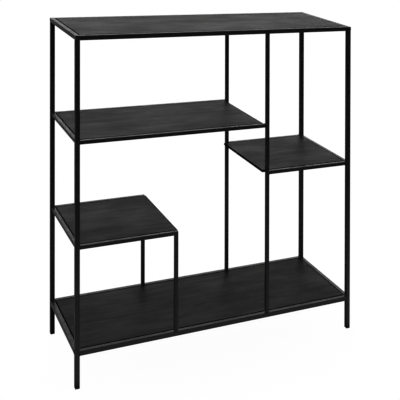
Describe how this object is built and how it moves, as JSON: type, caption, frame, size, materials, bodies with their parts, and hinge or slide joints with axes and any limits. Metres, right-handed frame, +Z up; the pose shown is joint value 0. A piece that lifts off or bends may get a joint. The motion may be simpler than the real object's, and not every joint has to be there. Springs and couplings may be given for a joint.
{
  "type": "open shelving bookcase",
  "caption": "Open bookcase: a welded square-tube steel frame on slim legs, with inset black wood-grain shelves at staggered heights.",
  "frame": {"origin": "on the floor, under the middle of the bookcase", "axes": "+X to the right along the width, +Y to the back, +Z up"},
  "size_m": [1.1, 0.356, 1.18],
  "materials": {
    "frame_paint": "fine-textured matte black powder coat",
    "board_black_ash": "black-stained ash grain, matte",
    "foot_plastic": "moulded black plastic",
    "screw_black": "blackened steel"
  },
  "bodies": {
    "root": {"leg_front_left": "frame_paint", "leg_front_right": "frame_paint", "leg_back_left": "frame_paint", "leg_back_right": "frame_paint", "top_rail_front": "frame_paint", "top_rail_back": "frame_paint", "top_rail_left": "frame_paint", "top_rail_right": "frame_paint", "base_rail_front": "frame_paint", "base_rail_back": "frame_paint", "base_rail_left": "frame_paint", "base_rail_right": "frame_paint", "upright_front": "frame_paint", "upright_back": "frame_paint", "post_front": "frame_paint", "post_back": "frame_paint", "upper_rail_front": "frame_paint", "upper_rail_back": "frame_paint", "upper_rail_left": "frame_paint", "side_rail_front": "frame_paint", "side_rail_back": "frame_paint", "side_rail_right": "frame_paint", "lower_rail_front": "frame_paint", "lower_rail_back": "frame_paint", "lower_rail_left": "frame_paint", "top_board": "board_black_ash", "top_strap_1": "frame_paint", "top_strap_2": "frame_paint", "top_strap_3": "frame_paint", "top_screw_1": "screw_black", "top_screw_2": "screw_black", "top_screw_3": "screw_black", "base_board": "board_black_ash", "base_strap_1": "frame_paint", "base_strap_2": "frame_paint", "base_strap_3": "frame_paint", "base_screw_1": "screw_black", "base_screw_2": "screw_black", "base_screw_3": "screw_black", "upper_board": "board_black_ash", "upper_strap_1": "frame_paint", "upper_strap_2": "frame_paint", "upper_screw_1": "screw_black", "upper_screw_2": "screw_black", "side_board": "board_black_ash", "side_strap_1": "frame_paint", "side_strap_2": "frame_paint", "side_screw_1": "screw_black", "side_screw_2": "screw_black", "lower_board": "board_black_ash", "lower_strap_1": "frame_paint", "lower_strap_2": "frame_paint", "lower_screw_1": "screw_black", "lower_screw_2": "screw_black", "foot_front_left": "foot_plastic", "foot_front_right": "foot_plastic", "foot_back_left": "foot_plastic", "foot_back_right": "foot_plastic"}
  },
  "joints": []
}
